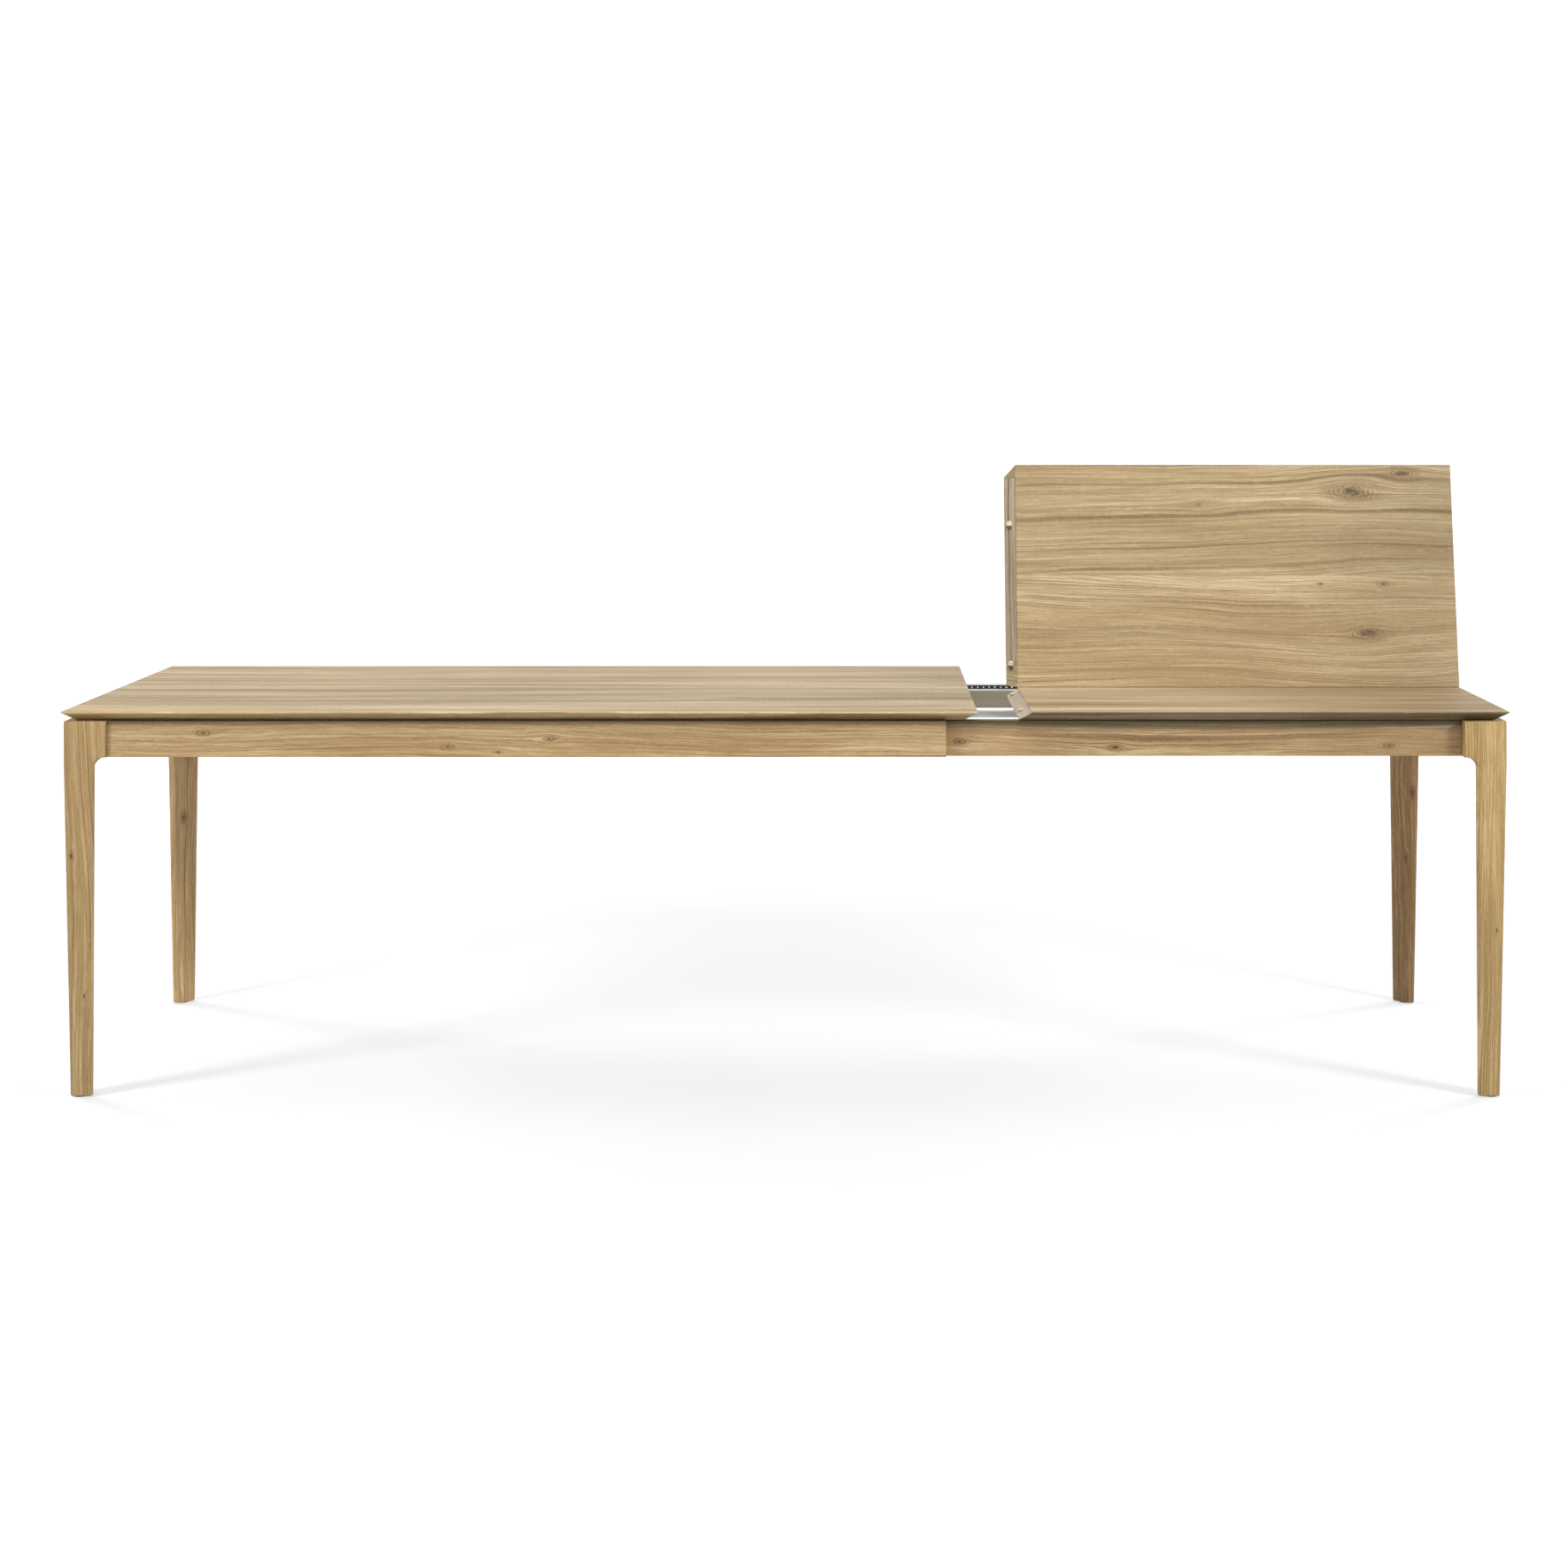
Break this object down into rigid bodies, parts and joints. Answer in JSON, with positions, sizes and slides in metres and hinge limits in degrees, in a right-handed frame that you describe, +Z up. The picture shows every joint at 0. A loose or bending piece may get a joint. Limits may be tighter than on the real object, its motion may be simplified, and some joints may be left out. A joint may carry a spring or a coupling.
{
  "type": "extendable dining table",
  "caption": "Long oak dining table on tapered legs with a chamfered inner corner, pulled open on telescopic slides, with a butterfly leaf whose rear half is raised.",
  "frame": {"origin": "on the floor, in the middle of the open table's length and width", "axes": "+X along the table towards the end that slides out, +Y towards the rear edge, +Z up"},
  "size_m": [2.844, 0.96, 1.2296],
  "materials": {
    "oak": "matt oiled oak, long grain with small knots",
    "ball_cage": "black nylon strip holding bright steel balls",
    "zinc_steel": "zinc-plated pressed steel",
    "glide_nylon": "dark nylon",
    "brass": "turned brass",
    "oak_inside": "bare planed oak",
    "bolt_steel": "plain turned steel",
    "aluminium": "satin anodised extrusion",
    "beech": "pale bare beech"
  },
  "bodies": {
    "fixed_frame": {"apron_back_outer": "oak", "apron_end_left": "oak", "apron_front_outer": "oak", "corner_bracket_back_left": "zinc_steel", "corner_bracket_front_left": "zinc_steel", "glide_back_left": "glide_nylon", "glide_front_left": "glide_nylon", "leg_back_left": "oak", "leg_bolt_back_left": "bolt_steel", "leg_bolt_front_left": "bolt_steel", "leg_front_left": "oak", "main_top": "oak", "slide_fixed_back": "aluminium", "slide_fixed_front": "aluminium", "top_batten_back": "oak_inside", "top_batten_front": "oak_inside", "top_batten_left": "oak_inside", "top_batten_right": "oak_inside"},
    "ball_cages_outer": {"ball_cage_outer_back": "ball_cage", "ball_cage_outer_front": "ball_cage"},
    "slides_middle": {"slide_middle_back": "aluminium", "slide_middle_front": "aluminium"},
    "ball_cages_inner": {"ball_cage_inner_back": "ball_cage", "ball_cage_inner_front": "ball_cage"},
    "sliding_frame": {"apron_back_inner": "oak", "apron_end_right": "oak", "apron_front_inner": "oak", "corner_bracket_back_right": "zinc_steel", "corner_bracket_front_right": "zinc_steel", "glide_back_right": "glide_nylon", "glide_front_right": "glide_nylon", "hinge_barrel_front_1": "brass", "hinge_barrel_front_2": "brass", "hinge_barrel_front_3": "brass", "leaf_carrier_left": "oak_inside", "leaf_carrier_middle": "oak_inside", "leaf_carrier_right": "oak_inside", "leaf_front_lipping": "oak", "leaf_front_panel": "oak", "leg_back_right": "oak", "leg_bolt_back_right": "bolt_steel", "leg_bolt_front_right": "bolt_steel", "leg_front_right": "oak", "rail_bracket_back": "zinc_steel", "rail_bracket_front": "zinc_steel", "slide_moving_back": "aluminium", "slide_moving_front": "aluminium", "tongue_front_far": "beech", "tongue_front_near": "beech"},
    "leaf_back": {"hinge_barrel_back_1": "brass", "hinge_barrel_back_2": "brass", "hinge_barrel_back_3": "brass", "leaf_back_lipping": "oak", "leaf_back_panel": "oak", "tongue_back_far": "beech", "tongue_back_near": "beech"}
  },
  "joints": [
    {"name": "frame_slide", "type": "slide", "parent": "fixed_frame", "child": "sliding_frame", "axis": [1, 0, 0], "range_m": [-0.1052, 0]},
    {"name": "middle_slide", "type": "slide", "parent": "fixed_frame", "child": "slides_middle", "axis": [1, 0, 0], "range_m": [-0.0526, 0]},
    {"name": "cage_outer_slide", "type": "slide", "parent": "fixed_frame", "child": "ball_cages_outer", "axis": [1, 0, 0], "range_m": [-0.0263, 0]},
    {"name": "cage_inner_slide", "type": "slide", "parent": "fixed_frame", "child": "ball_cages_inner", "axis": [1, 0, 0], "range_m": [-0.0789, 0]},
    {"name": "leaf_hinge", "type": "hinge", "parent": "sliding_frame", "child": "leaf_back", "pos_m": [0.953, 0, 0.7603], "axis": [1, 0, 0], "range_deg": [-78, 102]}
  ],
  "couplings": [
    {"joint": "middle_slide", "follows": "frame_slide", "ratio": 0.5},
    {"joint": "cage_outer_slide", "follows": "frame_slide", "ratio": 0.25},
    {"joint": "cage_inner_slide", "follows": "frame_slide", "ratio": 0.75}
  ]
}
